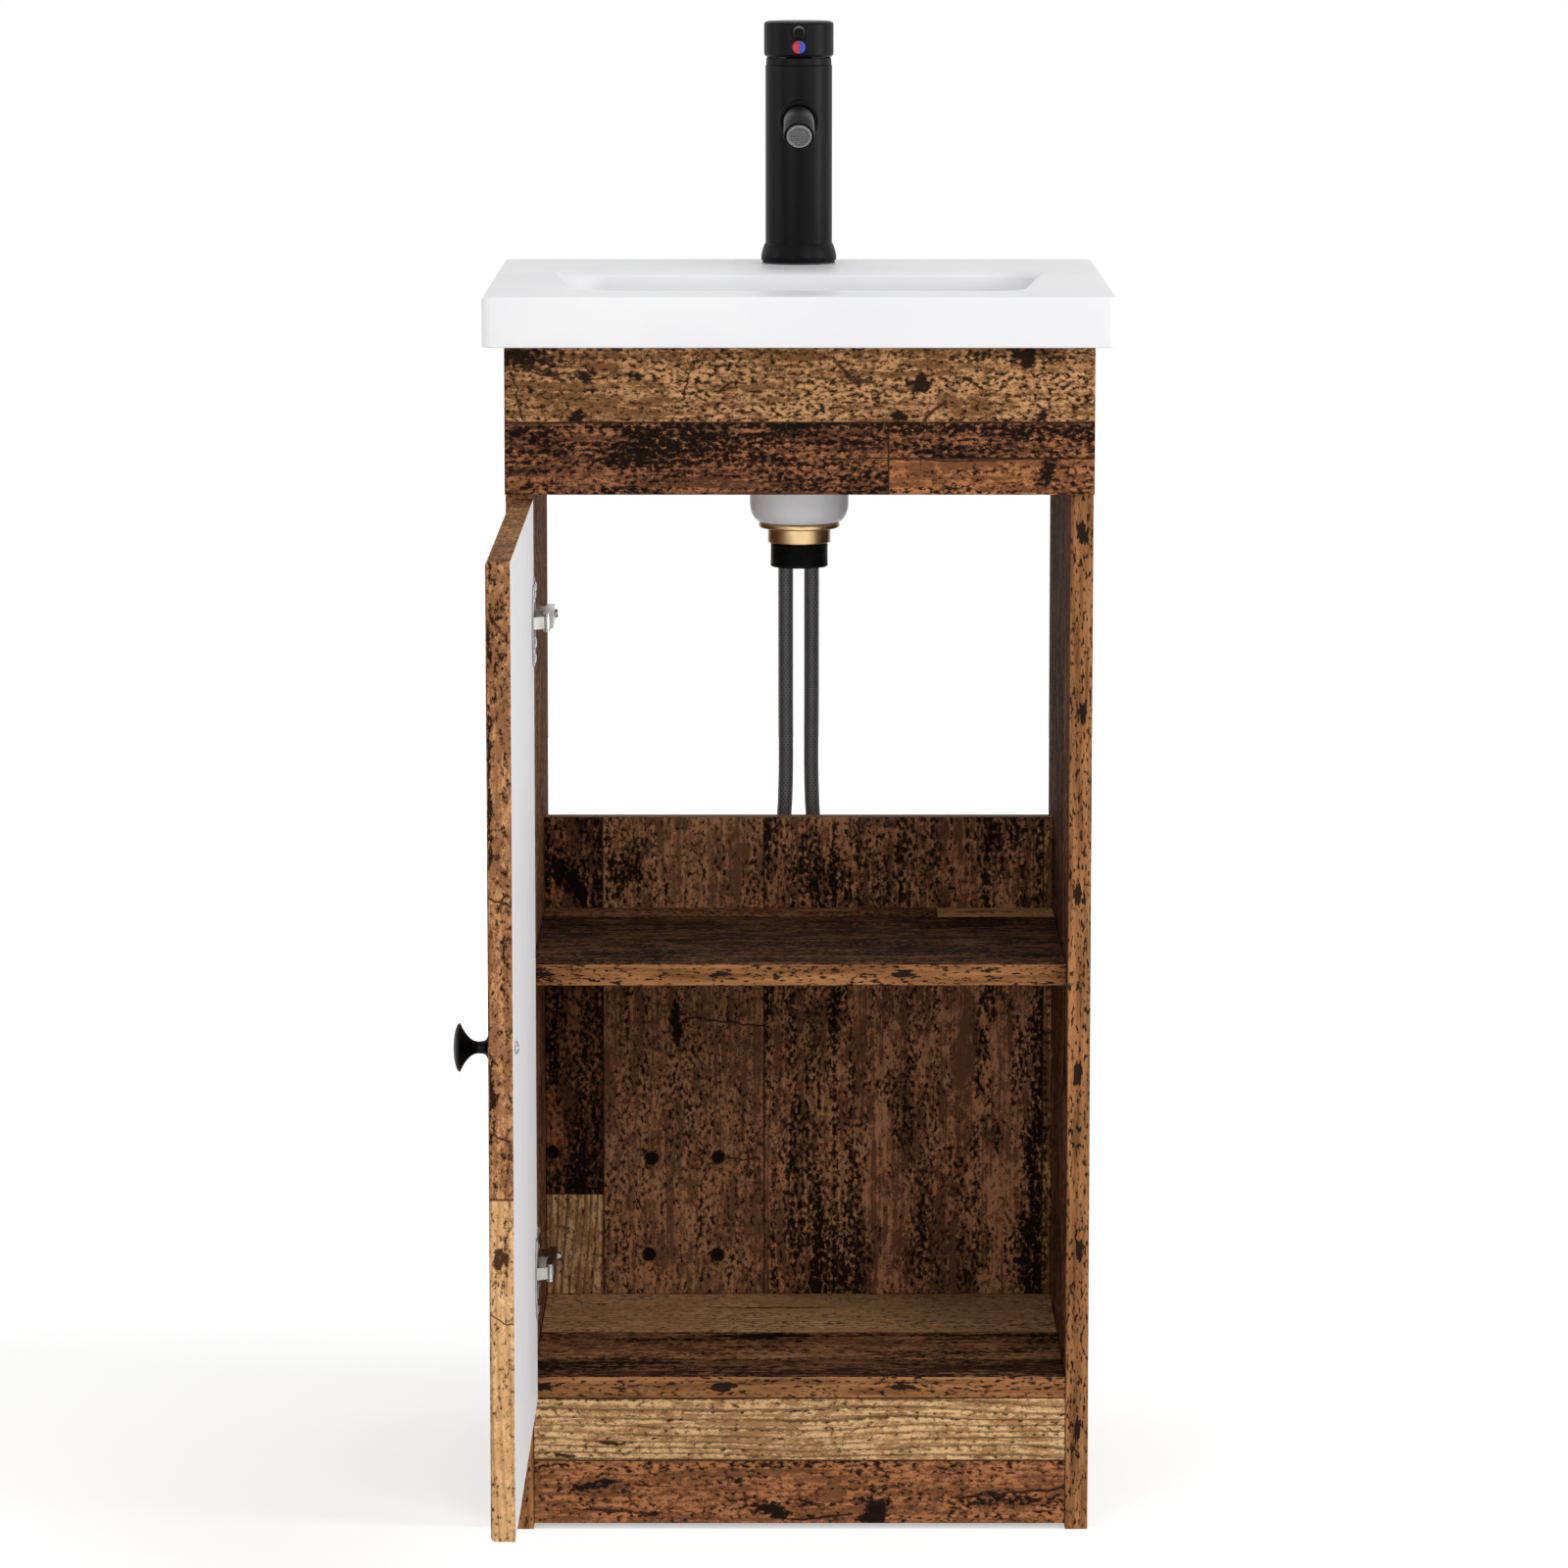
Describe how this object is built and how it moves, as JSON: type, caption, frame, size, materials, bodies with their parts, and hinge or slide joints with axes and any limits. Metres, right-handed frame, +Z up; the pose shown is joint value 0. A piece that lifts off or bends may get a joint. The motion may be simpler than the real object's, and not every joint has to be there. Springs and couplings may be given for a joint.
{
  "type": "vanity unit",
  "caption": "Free-standing bathroom vanity: narrow plank-print cabinet with a hinged door and a shelf, topped by a ceramic basin with a plug waste and a black lever mixer tap.",
  "frame": {"origin": "on the floor, under the middle of the box round the unit with its door standing open", "axes": "+X to the right as seen from the front, +Y from the front towards the wall, +Z up"},
  "size_m": [0.4156, 0.732, 0.9887],
  "materials": {
    "old_wood": "satin printed plank decor on board",
    "white_ceramic": "gloss glaze",
    "matt_black": "matt black coating",
    "black_plastic": "moulded black",
    "nickel": "nickel plated steel",
    "brass": "turned brass",
    "rubber": "soft black",
    "hose_braid": "dark braided sleeve",
    "grey_insert": "moulded grey",
    "dot_enamel": "half red, half blue enamel"
  },
  "bodies": {
    "carcass": {"left_side_panel": "old_wood", "right_side_panel": "old_wood", "bottom_panel": "old_wood", "shelf": "old_wood", "back_panel": "old_wood", "plinth": "old_wood", "apron": "old_wood", "shelf_pin_left_front": "nickel", "shelf_pin_left_rear": "nickel", "shelf_pin_right_front": "nickel", "shelf_pin_right_rear": "nickel", "upper_hinge_plate": "nickel", "upper_hinge_arm": "nickel", "upper_arm_pin": "nickel", "upper_arm_screw": "nickel", "lower_hinge_plate": "nickel", "lower_hinge_arm": "nickel", "lower_arm_pin": "nickel", "lower_arm_screw": "nickel", "basin": "white_ceramic", "waste_seal": "rubber", "waste_body": "black_plastic", "waste_washer": "brass", "waste_nut": "brass", "plug_guide": "black_plastic", "tap_gasket": "rubber", "tap_body": "matt_black", "tap_cartridge": "grey_insert", "tap_bonnet": "matt_black", "tap_spout": "matt_black", "tap_aerator": "grey_insert", "tap_stud": "nickel", "tap_clamp": "nickel", "tap_clamp_nut": "brass", "left_hose": "hose_braid", "right_hose": "hose_braid", "left_hose_nut": "nickel", "right_hose_nut": "nickel"},
    "hinge_links": {"upper_hinge_link": "nickel", "lower_hinge_link": "nickel"},
    "door": {"door_panel": "old_wood", "upper_hinge_cup": "nickel", "upper_cup_pin": "nickel", "lower_hinge_cup": "nickel", "lower_cup_pin": "nickel", "door_knob": "matt_black", "knob_screw": "nickel"},
    "plug": {"waste_plug": "matt_black"},
    "handle_rotor": {"cartridge_rotor": "grey_insert"},
    "handle": {"handle_cap": "matt_black", "handle_lever": "matt_black", "temperature_dot": "dot_enamel", "lever_stem": "nickel"}
  },
  "joints": [
    {"name": "hinge_link_swing", "type": "hinge", "parent": "carcass", "child": "hinge_links", "pos_m": [-0.1622, 0.01178, 0.39], "axis": [0, 0, 1], "range_deg": [-37.13, 1.53]},
    {"name": "door_swing", "type": "hinge", "parent": "hinge_links", "child": "door", "pos_m": [-0.1755, 0.0045, 0.39], "axis": [0, 0, 1], "range_deg": [-5.2, 127.11]},
    {"name": "plug_slide", "type": "slide", "parent": "carcass", "child": "plug", "axis": [0, 0, 1], "range_m": [0, 0.008]},
    {"name": "handle_swivel", "type": "hinge", "parent": "carcass", "child": "handle_rotor", "pos_m": [0.0028, 0.325, 0.9642], "axis": [0, 0, 1], "range_deg": [-45, 45]},
    {"name": "handle_lift", "type": "hinge", "parent": "handle_rotor", "child": "handle", "pos_m": [0.0028, 0.325, 0.9642], "axis": [-1, 0, 0], "range_deg": [0, 18]}
  ],
  "couplings": [
    {"joint": "hinge_link_swing", "follows": "door_swing", "ratio": -0.29197}
  ]
}
